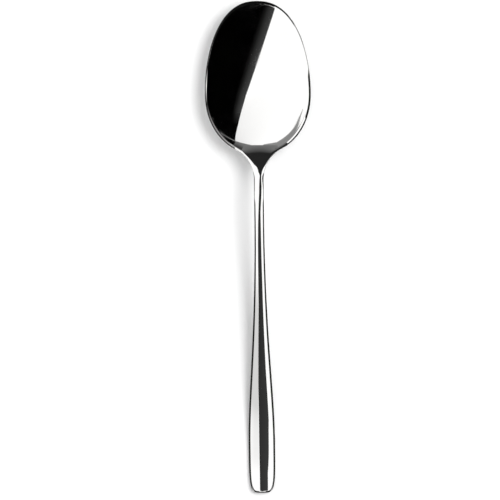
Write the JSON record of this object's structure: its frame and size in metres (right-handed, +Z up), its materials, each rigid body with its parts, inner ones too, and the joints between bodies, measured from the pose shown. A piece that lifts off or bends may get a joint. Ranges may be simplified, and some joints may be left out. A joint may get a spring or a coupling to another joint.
{
  "type": "dessert spoon",
  "caption": "Polished stainless steel dessert spoon in one piece: an egg-shaped bowl, a slim neck and a plain handle that widens to a rounded tail.",
  "frame": {"origin": "on the table, under the middle of the spoon's length and width", "axes": "+Y along the spoon towards the bowl's tip, +Z up out of the bowl, +X across to the right when the bowl points away"},
  "size_m": [0.0392, 0.182, 0.014],
  "materials": {
    "polished_steel": "mirror-polished stainless steel"
  },
  "bodies": {
    "root": {"spoon": "polished_steel"}
  },
  "joints": []
}
